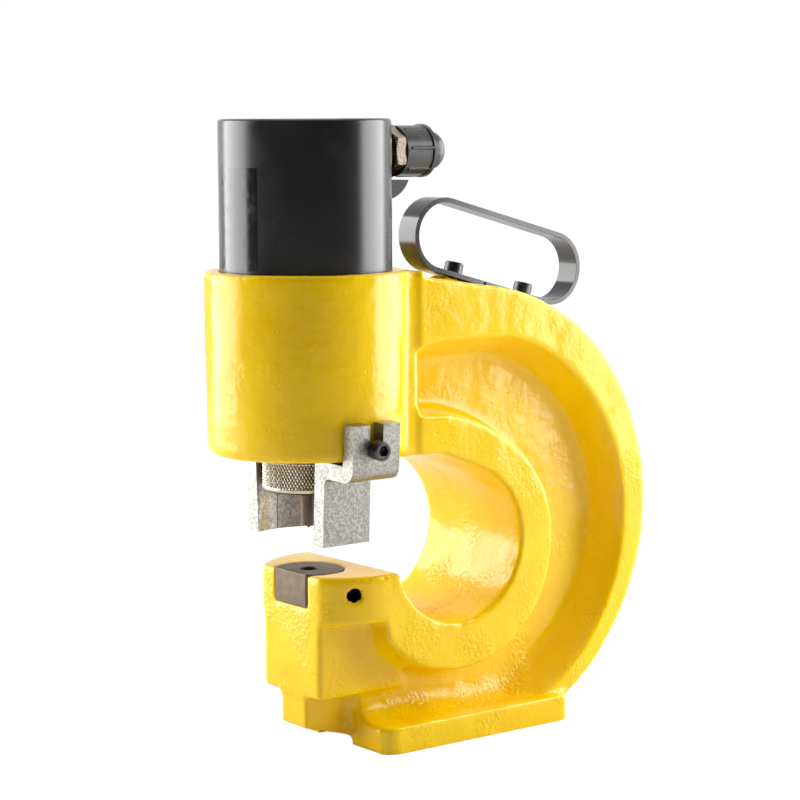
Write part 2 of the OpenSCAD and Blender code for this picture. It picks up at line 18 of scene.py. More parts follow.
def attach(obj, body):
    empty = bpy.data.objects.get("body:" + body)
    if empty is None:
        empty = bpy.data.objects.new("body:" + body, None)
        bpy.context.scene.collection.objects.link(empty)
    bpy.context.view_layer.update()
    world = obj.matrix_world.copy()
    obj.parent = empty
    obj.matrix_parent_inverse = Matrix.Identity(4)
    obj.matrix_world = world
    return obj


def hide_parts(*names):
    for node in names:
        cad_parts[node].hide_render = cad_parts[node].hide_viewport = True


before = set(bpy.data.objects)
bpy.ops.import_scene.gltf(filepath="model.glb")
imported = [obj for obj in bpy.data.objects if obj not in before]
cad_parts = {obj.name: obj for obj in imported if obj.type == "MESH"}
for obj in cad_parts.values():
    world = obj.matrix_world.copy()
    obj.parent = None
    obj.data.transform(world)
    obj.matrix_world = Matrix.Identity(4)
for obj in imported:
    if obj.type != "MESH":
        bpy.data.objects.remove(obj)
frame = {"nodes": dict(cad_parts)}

LOG = logging.getLogger("hole_punch")
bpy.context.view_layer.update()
MM = 0.001
AXIS_X = -77.0  # The punch's axis, in millimetres
SPECK_CORE = 0.35  # The share of a speck's radius inside its soft edge

Colour = tuple[float, float, float]
Point = tuple[float, float, float]
Pair = tuple[float, float]


class Grain(Enum):
    """How a metal's surface was left."""

    GROUND = "ground"
    TUMBLED = "tumbled"
    POLISHED = "polished"


class Body(Enum):
    """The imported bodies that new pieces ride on."""

    FRAME = "frame"
    NUT = "nut"
    NEAR_STRIPPER = "near_stripper"
    FAR_STRIPPER = "far_stripper"
    CAP = "cap"


# Shader maths


class Wire:
    """A shader socket that takes part in plain arithmetic."""

    def __init__(self, shader: "Shader", socket: bpy.types.NodeSocket) -> None:
        """Wraps a socket of a shader's node tree."""
        self.shader = shader
        self.socket = socket

    def maths(self, operation: str, *others: "Wire | float") -> "Wire":
        """Adds one Math node.

        Args:
            operation: The node's operation.
            others: Its further operands.

        Returns:
            The node's result.
        """
        made = self.shader.node("ShaderNodeMath", {"operation": operation},
                                dict(enumerate((self, *others))))
        return Wire(self.shader, made.outputs[0])

    def __add__(self, other: "Wire | float") -> "Wire":
        """Sum."""
        return self.maths("ADD", other)

    __radd__ = __add__

    def __sub__(self, other: "Wire | float") -> "Wire":
        """Difference."""
        return self.maths("SUBTRACT", other)

    def __rsub__(self, other: float) -> "Wire":
        """Difference from a number."""
        return (self * -1.0) + other

    def __mul__(self, other: "Wire | float") -> "Wire":
        """Product."""
        return self.maths("MULTIPLY", other)

    __rmul__ = __mul__

    def step(self, low: float, high: float) -> "Wire":
        """A smooth step.

        Args:
            low: The value that gives 0.
            high: The value that gives 1.

        Returns:
            The smooth step's result.
        """
        made = self.shader.node("ShaderNodeMapRange", {"interpolation_type": "SMOOTHSTEP"},
                                {"Value": self, "From Min": low, "From Max": high})
        return Wire(self.shader, made.outputs["Result"])


@dataclass(frozen=True)
class Specks:
    """Scattered round specks.

    Args:
        spacing: The distance between them, in millimetres.
        size: Their radius, in millimetres.
        share: The share of them that shows.
    """

    spacing: float
    size: float
    share: float


class Shader:
    """A node tree that is filled by name and value."""

    def __init__(self, tree: bpy.types.NodeTree) -> None:
        """Empties the tree."""
        self.tree = tree
        tree.nodes.clear()

    def node(self, kind: str, settings: dict | None = None,
             sockets: dict | None = None) -> bpy.types.Node:
        """Adds a node.

        Args:
            kind: The node's type.
            settings: Its settings.
            sockets: Values or wires for its inputs.

        Returns:
            The node.
        """
        made = self.tree.nodes.new(kind)
        for name, value in (settings or {}).items():
            setattr(made, name, value)
        for name, value in (sockets or {}).items():
            if isinstance(value, Wire):
                self.tree.links.new(value.socket, made.inputs[name])
            else:
                made.inputs[name].default_value = value
        return made

    def wire(self, kind: str, output: str, settings: dict | None = None,
             sockets: dict | None = None) -> Wire:
        """Adds a node and returns one of its outputs.

        Args:
            kind: The node's type.
            output: The output's name.
            settings: The node's settings.
            sockets: Values or wires for its inputs.

        Returns:
            The output.
        """
        return Wire(self, self.node(kind, settings, sockets).outputs[output])

    def place(self) -> Wire:
        """The object's own coordinates."""
        return self.wire("ShaderNodeTexCoord", "Object")

    def along(self, axis: str) -> Wire:
        """One of the object's own coordinates, X, Y or Z."""
        return self.wire("ShaderNodeSeparateXYZ", axis, None, {"Vector": self.place()})

    def noise(self, size: float, detail: float = 2.0, stretch: Point = (1.0, 1.0, 1.0)) -> Wire:
        """Noise of a given size.

        Args:
            size: The size of its lumps, in millimetres.
            detail: The number of finer layers.
            stretch: Factors on the pattern's frequency along each axis.

        Returns:
            Values around 0.5.
        """
        vector = self.place()
        if stretch != (1.0, 1.0, 1.0):
            vector = self.wire("ShaderNodeMapping", "Vector", None, {"Vector": vector, "Scale": stretch})
        return self.wire("ShaderNodeTexNoise", "Fac", None,
                         {"Vector": vector, "Scale": 1 / (size * MM), "Detail": detail})

    def patches(self, size: float, low: float, high: float, detail: float = 3.0) -> Wire:
        """Patches with soft edges.

        Args:
            size: Their size, in millimetres.
            low: The noise at which a patch begins.
            high: The noise from which it is full.
            detail: The number of finer layers in its edge.

        Returns:
            1 inside a patch and 0 outside.
        """
        return self.noise(size, detail).step(low, high)

    def specks(self, specks: Specks) -> Wire:
        """Scattered round specks with soft edges.

        Args:
            specks: Their spacing, size and share.

        Returns:
            1 inside a speck and 0 outside.
        """
        cell = self.node("ShaderNodeTexVoronoi", {"feature": "F1"},
                         {"Vector": self.place(), "Scale": 1 / (specks.spacing * MM)})
        reach = specks.size / specks.spacing
        near = 1.0 - Wire(self, cell.outputs["Distance"]).step(reach * SPECK_CORE, reach)
        pick = self.wire("ShaderNodeSeparateColor", "Red", None, {"Color": Wire(self, cell.outputs["Color"])})
        return near * pick.maths("LESS_THAN", specks.share)

    def blend(self, mask: "Wire | float", low: Colour, high: Colour) -> Wire:
        """Mixes two colours.

        Args:
            mask: The share of the second colour.
            low: The first colour.
            high: The second colour.

        Returns:
            The mixed colour.
        """
        made = self.node("ShaderNodeMix", {"data_type": "RGBA"}, {0: mask})
        made.inputs[6].default_value = (*low, 1.0)
        made.inputs[7].default_value = (*high, 1.0)
        return Wire(self, made.outputs[2])

    def relief(self, height: Wire) -> Wire:
        """Turns a height in millimetres into a normal."""
        return self.wire("ShaderNodeBump", "Normal", None,
                         {"Height": height, "Distance": MM, "Strength": 1.0})

    def surface(self, sockets: dict) -> None:
        """Ends the tree with a Principled surface.

        Args:
            sockets: Values or wires for its inputs.
        """
        made = self.wire("ShaderNodeBsdfPrincipled", "BSDF", None, sockets)
        self.node("ShaderNodeOutputMaterial", None, {"Surface": made})


# Finishes


@dataclass(frozen=True)
class Finish:
    """A finish with a name and a base colour."""

    name: str
    colour: Colour

    def dress(self, shader: Shader) -> None:
        """Fills the material's nodes."""
        shader.surface({"Base Color": (*self.colour, 1.0)})

    def material(self) -> bpy.types.Material:
        """The finish's material, made once.

        Returns:
            The material.
        """
        found = bpy.data.materials.get(self.name)
        if found is None:
            found = bpy.data.materials.new(self.name)
            found.use_nodes = True
            self.dress(Shader(found.node_tree))
        return found

    def put_on(self, piece: bpy.types.Object) -> None:
        """Gives the finish to the whole of a piece.

        Args:
            piece: The piece.
        """
        if not piece.data.materials:
            piece.data.materials.append(self.material())
        for slot in piece.material_slots:
            slot.material = self.material()


@dataclass(frozen=True)
class Enamel(Finish):
    """Thick gloss paint over a rough sand casting, smooth on the jaw's machined top.

    Args:
        deep: A deeper colour, mixed in random patches where the paint lies thick and, as painted shade, into
            the pits.
        roughness: The least roughness.
        lump: The height of broad lumps, in millimetres.
        peel: The height of the orange peel, in millimetres.
        peel_size: The size of the orange peel, in millimetres.
        peel_range: Factors on the peel's height, in smooth patches and further in coarse ones.
        low_peel: The factor that is added to it on the casting's lower part.
        low_z: The heights between which that part ends, in metres.
        pits: The pits in the paint.
        pit_depth: Their depth, in millimetres.
        grit: The grains under the paint.
        grit_height: Their height, in millimetres.
        machined_z: The height of the machined top, in metres.
        machined_x: The X up to which it reaches, in metres.
        machined_reach: How far the smooth band goes under and over that height, in millimetres.
        machined_edge: The widths of the band's soft edges, in millimetres.
        gloss: The paint's index of refraction.
    """

    deep: Colour
    roughness: float
    lump: float
    peel: float
    machined_z: float
    machined_x: float = -0.046
    machined_reach: Pair = (0.6, 1.5)
    machined_edge: Pair = (0.3, 0.5)
    peel_size: float = 2.1
    peel_range: Pair = (0.5, 2.2)
    low_peel: float = 2.6
    low_z: Pair = (0.085, 0.165)
    pits: Specks = Specks(6.6, 0.75, 0.4)
    pit_depth: float = 0.2
    grit: Specks = Specks(4.4, 0.55, 0.35)
    grit_height: float = 0.14
    gloss: float = 1.42

    def cast_part(self, shader: Shader) -> Wire:
        """Where the surface is as cast.

        Args:
            shader: The material's tree.

        Returns:
            1 where it is as cast and 0 on the machined top.
        """
        height = shader.along("Z")
        under, over = (reach * MM for reach in self.machined_reach)
        rise, fall = (width * MM for width in self.machined_edge)
        start = self.machined_z - under
        end = self.machined_z + over
        band = height.step(start, start + rise) * (1.0 - height.step(end, end + fall))
        return 1.0 - band * shader.along("X").maths("LESS_THAN", self.machined_x)

    def dress(self, shader: Shader) -> None:
        """Fills the material's nodes: colour drift, orange peel, grit, and pits with painted shade in them.

        Args:
            shader: The material's tree.
        """
        drift = shader.patches(34.0, low=0.34, high=0.70)
        coarse = shader.patches(26.0, low=0.46, high=0.62, detail=1.0)
        pits = shader.specks(self.pits)
        grit = shader.specks(self.grit)
        low = (1.0 - shader.along("Z").step(*self.low_z)) * self.low_peel + 1.0
        smooth_peel, coarse_peel = (factor * self.peel for factor in self.peel_range)
        peel = shader.noise(self.peel_size) * (coarse * coarse_peel + smooth_peel) * low
        lumps = shader.noise(7.0) * self.lump
        bumps = lumps + peel + grit * self.grit_height - pits * self.pit_depth
        haze = shader.noise(1.2, 1.0) * (self.peel * 0.1)
        shader.surface({
            # The deep colour fills random drift patches and, as painted shade, the pits.
            "Base Color": shader.blend(drift * 0.55 + pits * 0.45, self.colour, self.deep),
            "Roughness": shader.noise(15.0) * 0.1 + self.roughness,
            "IOR": self.gloss,
            "Normal": shader.relief(self.cast_part(shader) * bumps + haze),
        })


@dataclass(frozen=True)
class Steel(Finish):
    """Bare or plated metal, with the marks of how it was made.

    Args:
        dark: The colour of its duller parts.
        roughness: Its middling roughness.
        grain: How its surface was left.
        grain_size: The size of the marks, in millimetres.
        depth: Their depth, in millimetres.
        stretch: Factors on the marks' frequency along each axis.
        smear: How much rougher its smears are.
    """

    dark: Colour
    roughness: float
    grain: Grain
    grain_size: float
    depth: float
    stretch: Point = (1.0, 1.0, 1.0)
    smear: float = 0.12

    def dress(self, shader: Shader) -> None:
        """Fills the material's nodes: tone, smears and grain.

        Args:
            shader: The material's tree.
        """
        tone = shader.patches(11.0, low=0.34, high=0.68)
        if self.grain is Grain.TUMBLED:
            fine = shader.noise(self.grain_size, 3.0)
            marks = fine * self.depth + shader.noise(self.grain_size * 3.6) * (self.depth * 1.6)
            mask = fine.step(0.36, 0.62)
        elif self.grain is Grain.GROUND:
            fine = shader.noise(self.grain_size, stretch=self.stretch)
            marks = fine * self.depth
            mask = fine.step(0.3, 0.7) * 0.6 + tone * 0.4
        else:
            marks = shader.noise(self.grain_size * 6.0, 1.0) * self.depth
            mask = tone
        shader.surface({
            "Base Color": shader.blend(mask, self.dark, self.colour),
            "Metallic": 1.0,
            "Roughness": tone * self.smear + (self.roughness - 0.05),
            "Normal": shader.relief(marks),
        })


@dataclass(frozen=True)
class Knurled(Finish):
    """Rolled knurling round the punch's axis, with painted shade that darkens its grooves by radius.

    Args:
        groove: The colour of the painted shade in the grooves.
        low_r: The radius up to which the painted shade is full, in millimetres.
        high_r: The radius from which the metal has no painted shade, in millimetres.
        roughness: The least roughness.
    """

    groove: Colour
    low_r: float
    high_r: float
    roughness: float

    def dress(self, shader: Shader) -> None:
        """Fills the material's nodes: painted shade by depth and faint smears.

        Args:
            shader: The material's tree.
        """
        across = shader.along("X") - AXIS_X * MM
        deep = shader.along("Y")
        radius = (across * across + deep * deep).maths("SQRT")
        # Painted shade: the knurl's grooves darken towards the groove colour by radius.
        crest = radius.step(self.low_r * MM, self.high_r * MM)
        smear = shader.patches(6.0, low=0.34, high=0.68)
        shader.surface({
            "Base Color": shader.blend(crest * (smear * 0.3 + 0.7), self.groove, self.colour),
            "Metallic": 1.0,
            "Roughness": smear * 0.1 + self.roughness,
            "Normal": shader.relief(shader.noise(0.8) * 0.01),
        })


@dataclass(frozen=True)
class BlackPaint(Finish):
    """Satin black over turned steel, worn a little and dusty.

    Args:
        dust: The dust's colour.
        roughness: The least roughness.
        grains: The grains of dust.
        along_turning: Factors that stretch the turning marks round the Z axis.
    """

    dust: Colour
    roughness: float
    grains: Specks = Specks(3.4, 0.28, 0.3)
    along_turning: Point = (0.05, 0.05, 1.0)

    def dress(self, shader: Shader) -> None:
        """Fills the material's nodes: dust, faint turning marks and specks.

        Args:
            shader: The material's tree.
        """
        cloud = shader.patches(30.0, low=0.38, high=0.72, detail=4.0)
        turned = shader.noise(0.9, stretch=self.along_turning)
        specks = shader.specks(self.grains)
        shader.surface({
            "Base Color": shader.blend(cloud * 0.35 + specks * 0.5, self.colour, self.dust),
            "Roughness": cloud * 0.08 + turned * 0.05 + self.roughness,
            "Coat Weight": 0.12,
            "Coat Roughness": 0.25,
            "Normal": shader.relief(turned * 0.008 + specks * 0.02),
        })


@dataclass(frozen=True)
class Moulded(Finish):
    """Moulded plastic or rubber with a fine skin.

    Args:
        roughness: The least roughness.
        skin: The depth of the skin's grain, in millimetres.
    """

    roughness: float
    skin: float

    def dress(self, shader: Shader) -> None:
        """Fills the material's nodes: scuffs and a leathery skin.

        Args:
            shader: The material's tree.
        """
        scuff = shader.patches(6.0, low=0.45, high=0.75)
        pale = tuple(min(1.0, c * 1.8 + 0.01) for c in self.colour)
        shader.surface({
            "Base Color": shader.blend(scuff * 0.5, self.colour, pale),
            "Roughness": scuff * 0.12 + self.roughness,
            "Normal": shader.relief(shader.noise(0.5) * self.skin),
        })


class Finishes:
    """The finishes of this punch."""

    ENAMEL = Enamel("yellow_enamel", (0.92, 0.595, 0.0), (0.86, 0.51, 0.0), 0.12, 0.26, 0.07, 0.093)
    BLACK = BlackPaint("black_cylinder", (0.011, 0.010, 0.009), (0.030, 0.028, 0.025), 0.2)
    PLATE = Moulded("blank_plate", (0.006, 0.006, 0.006), 0.16, 0.002)
    ZINC = Steel("cast_zinc", (0.40, 0.39, 0.36), (0.27, 0.26, 0.235), 0.4, Grain.TUMBLED, 1.3, 0.16)
    NICKEL = Steel("nickel_plate", (0.34, 0.30, 0.24), (0.20, 0.165, 0.12), 0.28, Grain.TUMBLED, 0.8, 0.03)
    KNURLED = Knurled("knurled_steel", (0.72, 0.66, 0.54), (0.07, 0.055, 0.035), 22.9, 23.3, 0.3)
    BRIGHT = Steel("bright_steel", (0.66, 0.66, 0.66), (0.52, 0.52, 0.52), 0.22, Grain.GROUND, 0.7, 0.008,
                   (1, 1, 0.1))
    TOOL = Steel("die_steel", (0.19, 0.15, 0.11), (0.12, 0.09, 0.065), 0.5, Grain.GROUND, 0.8, 0.03,
                 (1, 0.15, 0.15))
    STRAP = BlackPaint("black_strap", (0.012, 0.011, 0.010), (0.030, 0.028, 0.025), 0.1)
    SCREW = Steel("black_screws", (0.12, 0.115, 0.11), (0.05, 0.048, 0.046), 0.36, Grain.GROUND, 0.6, 0.02)
    OXIDE = Steel("brown_oxide", (0.16, 0.11, 0.08), (0.07, 0.05, 0.04), 0.42, Grain.POLISHED, 0.9, 0.03)
    BRONZE = Steel("bush_bronze", (0.62, 0.42, 0.20), (0.46, 0.28, 0.12), 0.36, Grain.GROUND, 0.7, 0.01,
                   (1, 1, 0.1))
    SPRING = Steel("spring_steel", (0.32, 0.32, 0.34), (0.18, 0.18, 0.19), 0.38, Grain.TUMBLED, 0.9, 0.02)
    CAP = Moulded("black_cap", (0.036, 0.035, 0.034), 0.28, 0.015)
    SEAL = Moulded("seal_rubber", (0.020, 0.020, 0.021), 0.55, 0.02)
    WEAR = Moulded("wear_ring", (0.38, 0.22, 0.10), 0.5, 0.02)


# Mesh building


class Bench:
    """Makes objects from bmeshes, with their place in their mesh."""

    @staticmethod
    def merged(node: bpy.types.Object) -> bmesh.types.BMesh:
        """A merged copy of a CAD node's mesh.

        Args:
            node: The CAD node.

        Returns:
            Its mesh, with shared vertices and without needless edges.
        """
        mesh = bmesh.new()
        mesh.from_mesh(node.data)
        bmesh.ops.remove_doubles(mesh, verts=mesh.verts, dist=1e-6)
        bmesh.ops.dissolve_limit(mesh, angle_limit=math.radians(0.4), verts=mesh.verts, edges=mesh.edges)
        return mesh

    @staticmethod
    def finished(name: str, mesh: bmesh.types.BMesh, sharp: float = 32.0) -> bpy.types.Object:
        """Turns a bmesh into a smooth-shaded object with sharp creases.

        Args:
            name: The piece's name.
            mesh: Its mesh, which is freed.
            sharp: The angle from which an edge stays sharp, in degrees.

        Returns:
            The object.
        """
        limit = math.radians(sharp)
        for face in mesh.faces:
            face.smooth = True
        for edge in mesh.edges:
            edge.smooth = len(edge.link_faces) == 2 and edge.calc_face_angle(0.0) < limit
        data = bpy.data.meshes.new(name)
        mesh.to_mesh(data)
        mesh.free()
        piece = bpy.data.objects.new(name, data)
        bpy.context.scene.collection.objects.link(piece)
        return piece

    @staticmethod
    def bevelled(node: bpy.types.Object, name: str, width: float, segments: int = 2,
                 angle: float = 34.0) -> bpy.types.Object:
        """A copy of a CAD node with its edges broken.

        Args:
            node: The CAD node.
            name: The new piece's name.
            width: The bevel's width, in millimetres.
            segments: The bevel's segments.
            angle: The least angle of an edge that is bevelled, in degrees.

        Returns:
            The piece.
        """
        piece = Bench.finished(name, Bench.merged(node), 40.0)
        bevel = piece.modifiers.new("broken_edges", "BEVEL")
        bevel.width = width * MM
        bevel.segments = segments
        bevel.limit_method = "ANGLE"
        bevel.angle_limit = math.radians(angle)
        weighted = piece.modifiers.new("flat_faces", "WEIGHTED_NORMAL")
        weighted.keep_sharp = True
        return piece

    @staticmethod
    def softened(mesh: bmesh.types.BMesh, verts: list[bmesh.types.BMVert], passes: int) -> None:
        """Smooths some vertices of a mesh.

        Args:
            mesh: The mesh.
            verts: Its vertices to smooth.
            passes: How often.
        """
        for _ in range(passes):
            bmesh.ops.smooth_vert(mesh, verts=verts, factor=0.5, use_axis_x=True, use_axis_y=True,
                                  use_axis_z=True)

    @staticmethod
    def turned(outline: Iterable[Pair], steps: int) -> bmesh.types.BMesh:
        """Spins an outline about the Z axis.

        Args:
            outline: Radii and heights, in metres.
            steps: The number of steps round.

        Returns:
            The turned mesh, its axis at the origin.
        """
        mesh = bmesh.new()
        corners = [mesh.verts.new((radius, 0.0, height)) for radius, height in outline]
        edges = [mesh.edges.new(pair) for pair in zip(corners, corners[1:])]
        bmesh.ops.spin(mesh, geom=corners + edges, cent=(0, 0, 0), axis=(0, 0, 1), dvec=(0, 0, 0),
                       angle=math.tau, steps=steps, use_merge=True, use_duplicate=False)
        bmesh.ops.remove_doubles(mesh, verts=mesh.verts, dist=1e-7)
        bmesh.ops.recalc_face_normals(mesh, faces=mesh.faces)
        return mesh


@dataclass
class Assembly:
    """A sub-assembly that dresses CAD nodes and adds pieces."""

    nodes: dict[str, bpy.types.Object]

    def paint(self, finish: Finish, *names: str) -> None:
        """Puts a finish on CAD nodes.

        Args:
            finish: The finish.
            names: The nodes.
        """
        for name in names:
            finish.put_on(self.nodes[name])

    def stand_for(self, piece: bpy.types.Object, body: Body, node: str, finish: Finish) -> None:
        """Lets a piece take a CAD node's place.

        Args:
            piece: The new piece.
            body: The body that it rides on.
            node: The node that it replaces.
            finish: Its finish.
        """
        finish.put_on(piece)
        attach(piece, body.value)
        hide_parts(node)
        LOG.info("%s stands for %s", piece.name, node)

    def build(self) -> None:
        """Builds and dresses the sub-assembly."""
        raise NotImplementedError


@dataclass
class Former:
    """Plain solids for shaping the casting, in millimetres from the punch's axis.

    Args:
        side: -1 for the near side and 1 for the far side.
        tools: The solids made so far.
        rod_sides: The sides of a rod.
        pillar_sides: The sides of a pillar.
    """

    side: int = -1
    tools: list[bpy.types.Object] = field(default_factory=list)
    rod_sides: int = 160
    pillar_sides: int = 96

    def keep(self, name: str, mesh: bmesh.types.BMesh) -> bpy.types.Object:
        """Puts a solid, drawn for the near side, in its place.

        Args:
            name: The solid's name.
            mesh: Its mesh, which is freed.

        Returns:
            The solid.
        """
        bmesh.ops.scale(mesh, vec=(1.0, -self.side, 1.0), verts=mesh.verts)
        bmesh.ops.translate(mesh, vec=(AXIS_X, 0.0, 0.0), verts=mesh.verts)
        bmesh.ops.scale(mesh, vec=(MM, MM, MM), verts=mesh.verts)
        bmesh.ops.recalc_face_normals(mesh, faces=mesh.faces)
        self.tools.append(Bench.finished(name, mesh))
        return self.tools[-1]

    def rod(self, name: str, at: Pair, radii: Pair, span: Pair) -> bpy.types.Object:
        """A rod or cone along Y.

        Args:
            name: Its name.
            at: Its axis, as X and Z.
            radii: Its radii at the two ends of its span.
            span: Its Y range.

        Returns:
            The solid.
        """
        mesh = bmesh.new()
        turned = Matrix.Rotation(math.radians(-90.0), 4, "X")
        middle = Matrix.Translation((at[0], sum(span) / 2, at[1]))
        bmesh.ops.create_cone(mesh, cap_ends=True, cap_tris=False, segments=self.rod_sides, radius1=radii[0],
                              radius2=radii[1], depth=span[1] - span[0], matrix=middle @ turned)
        return self.keep(name, mesh)

    def pillar(self, name: str, radius: float, span: Pair) -> bpy.types.Object:
        """A rod round the punch's axis.

        Args:
            name: Its name.
            radius: Its radius.
            span: Its Z range.

        Returns:
            The solid.
        """
        mesh = bmesh.new()
        middle = Matrix.Translation((0, 0, sum(span) / 2))
        bmesh.ops.create_cone(mesh, cap_ends=True, cap_tris=False, segments=self.pillar_sides, radius1=radius,
                              radius2=radius, depth=span[1] - span[0], matrix=middle)
        return self.keep(name, mesh)

    def prism(self, name: str, corners: Iterable[Point], along: Point) -> bpy.types.Object:
        """A flat outline, drawn out.

        Args:
            name: Its name.
            corners: The outline's corners.
            along: The way that it is drawn out.

        Returns:
            The solid.
        """
        mesh = bmesh.new()
        base = mesh.faces.new([mesh.verts.new(corner) for corner in corners])
        made = bmesh.ops.extrude_face_region(mesh, geom=[base], use_keep_orig=True)
        moved = [item for item in made["geom"] if isinstance(item, bmesh.types.BMVert)]
        bmesh.ops.translate(mesh, vec=along, verts=moved)
        return self.keep(name, mesh)

    def side_view(self, name: str, corners: Iterable[Pair], span: Pair) -> bpy.types.Object:
        """An outline of X and Z, drawn out over a Y range."""
        return self.prism(name, [(x, span[0], z) for x, z in corners], (0.0, span[1] - span[0], 0.0))

    @staticmethod
    def cut(base: bpy.types.Object, operation: str, *tools: bpy.types.Object) -> bpy.types.Object:
        """Joins solids with, or cuts them out of, another.

        Args:
            base: The solid that changes.
            operation: UNION, DIFFERENCE or INTERSECT.
            tools: The other solids.

        Returns:
            The changed solid.
        """
        for tool in tools:
            step = base.modifiers.new(tool.name, "BOOLEAN")
            step.operation = operation
            step.solver = "MANIFOLD"
            step.object = tool
        return base

    def clear(self) -> None:
        """Removes the solids."""
        for tool in self.tools:
            bpy.data.objects.remove(tool)
        self.tools.clear()


# Sub-assemblies


@dataclass
class Casting(Assembly):
    """The C-frame: a sand casting with machined jaw, head and foot.

    Sizes are in millimetres. X is from the punch's axis, apart from reach, which is in the
    model's frame, and a pair that gives a place in the side view is its X and Z.
    """

    # How fine the casting's mesh is, and how it is softened
    voxel: float = 1.35
    quick_voxel: float = 2.4
    hard_passes: int = 1
    soft_passes: int = 4
    fillet_passes: int = 16
    wave: float = 0.3
    wave_size: float = 21.0
    fine_wave: float = 0.4
    # The machined faces, with the margin that stays sharp beside them
    jaw_top: float = 93.0
    jaw_back: float = 31.0
    jaw_margin: float = 1.5
    foot_level: float = 1.2
    pocket_r: float = 20.5
    pocket_z: float = 75.0
    seat_r: float = 40.0
    seat_z: float = 168.1
    seat_margin: Pair = (5.0, 1.0)
    hole: Pair = (2.8, 84.0)
    hole_r: float = 3.6
    hole_margin: float = 2.5
    hole_wall: float = 0.7
    # Where the sides' forms run into one another
    fillet_from: Pair = (13.0, 17.0)
    fillet_y: Pair = (15.0, 36.0)
    # The frame's outline and walls
    web: float = 20.0
    half_w: float = 40.5
    over: float = 41.5
    past: float = 1.0
    foot_x: float = 15.0
    foot_t: float = 14.0
    block_z: float = 68.5
    throat: Pair = (68.5, 103.5)
    throat_r: float = 41.5
    mouth: tuple[Pair, ...] = ((83.3, 142.2), (56.4, 152.5))
    rim: Pair = (76.6, 115.5)
    fill_r: float = 109.0
    fill_from: float = 6.0
    head_r: float = 53.0
    slab_x: float = 42.2
    shoulder_x: float = 26.0
    shoulder_y: float = 39.0
    shoulder_z: float = 246.0
    channel_y: float = 14.4
    channel_z: float = 4.9
    channel_skin: Pair = (-1.0, 2.0)
    reach: Pair = (-129.0, 121.95)
    # The recess in each side
    recess: Pair = (78.4, 108.7)
    recess_radii: Pair = (105.5, 95.0)
    recess_top: float = 210.9
    recess_slope: float = 10.0
    ring: Pair = (68.5, 100.5)
    ring_radii: Pair = (62.9, 67.4)
    bow: Pair = (45.93, 76.29)
    bow_radii: Pair = (96.0, 100.5)
    bow_end: float = 111.4
    lump: tuple[Pair, ...] = ((-12.0, 28.5), (-12.0, 69.5), (26.0, 69.5), (45.2, 28.5))
    lump_half: float = 25.0
    foot_fillet: float = 12.0
    fillet_steps: int = 6
    # Ends of the plain solids, well outside the casting
    far: float = 60.0
    far_up: float = 260.0
    far_along: float = 300.0
    bow_top: float = 200.0
    foot_along: float = 250.0
    foot_low: float = -5.0

    @property
    def mouth_top(self) -> float:
        """The height of the arch's underside."""
        return self.mouth[-1][1]

    def off_hole(self, point: Vector) -> float:
        """The distance from the set screw's hole, in millimetres."""
        return math.hypot(point.x / MM - AXIS_X - self.hole[0], point.z / MM - self.hole[1])

    def is_machined(self, point: Vector) -> bool:
        """Whether a point lies on a machined face.

        Args:
            point: A vertex of the casting.

        Returns:
            True on the jaw's top, round the die and its screw, in the head and under the foot.
        """
        across = point.x / MM - AXIS_X
        away = math.hypot(across, point.y / MM)
        high = point.z / MM
        on_jaw = abs(high - self.jaw_top) < self.jaw_margin and across < self.jaw_back
        by_die = away < self.pocket_r and self.pocket_z < high < self.jaw_top + self.jaw_margin
        by_hole = self.off_hole(point) < self.hole_r + self.hole_margin
        round_seat, under_seat = self.seat_margin
        in_head = away < self.seat_r + round_seat and high > self.seat_z - under_seat
        return on_jaw or by_die or by_hole or in_head or high < self.foot_level

    def is_fillet(self, point: Vector) -> bool:
        """Whether a point lies where the sides' forms run into one another.

        Args:
            point: A vertex of the casting.

        Returns:
            True between the web and the crests of the rim and the ring.
        """
        low_x, low_z = self.fillet_from
        low_y, high_y = self.fillet_y
        inside = low_y < abs(point.y) / MM < high_y
        return inside and point.x / MM - AXIS_X > low_x and point.z / MM > low_z

    def filler(self, former: Former) -> bpy.types.Object:
        """The solid that closes the CAD model's recesses.

        Args:
            former: The maker of plain solids.

        Returns:
            The solid.
        """
        wide = (-self.over, self.over)
        high = self.rim[1] + self.fill_r
        low_x, far_x = self.foot_x + self.fill_from, self.rim[0] + self.fill_r
        limits = former.side_view("filler_limits", (
            (low_x, self.foot_t), (far_x, self.foot_t), (far_x, high), (self.slab_x, high),
            (self.slab_x, self.mouth_top), *reversed(self.mouth), self.throat,
            (self.throat[0], self.block_z), (low_x, self.block_z)), wide)
        solid = former.rod("filler", self.rim, (self.fill_r, self.fill_r), (-self.half_w, self.half_w))
        Former.cut(solid, "INTERSECT", limits)
        hole = former.rod("filler_throat", self.throat, (self.throat_r, self.throat_r), wide)
        return Former.cut(solid, "DIFFERENCE", hole)

    def shoulder(self, former: Former) -> bpy.types.Object:
        """The solid that closes the groove between head and arch.

        Args:
            former: The maker of plain solids.

        Returns:
            The solid.
        """
        near_x, far_x = self.shoulder_x, self.slab_x + self.past
        corners = ((near_x, self.mouth_top), (far_x, self.mouth_top), (far_x, self.shoulder_z),
                   (near_x, self.shoulder_z))
        return former.side_view("shoulder", corners, (-self.shoulder_y, self.shoulder_y))

    def throat_mouth(self, former: Former) -> bpy.types.Object:
        """The solid between the throat and the arch's underside, which rises to the head.

        Args:
            former: The maker of plain solids.

        Returns:
            The solid.
        """
        low = self.jaw_top + self.past
        corners = ((self.slab_x, low), (self.throat[0], low), *self.mouth, (self.slab_x, self.mouth_top))
        return former.side_view("mouth", corners, (-self.over, self.over))

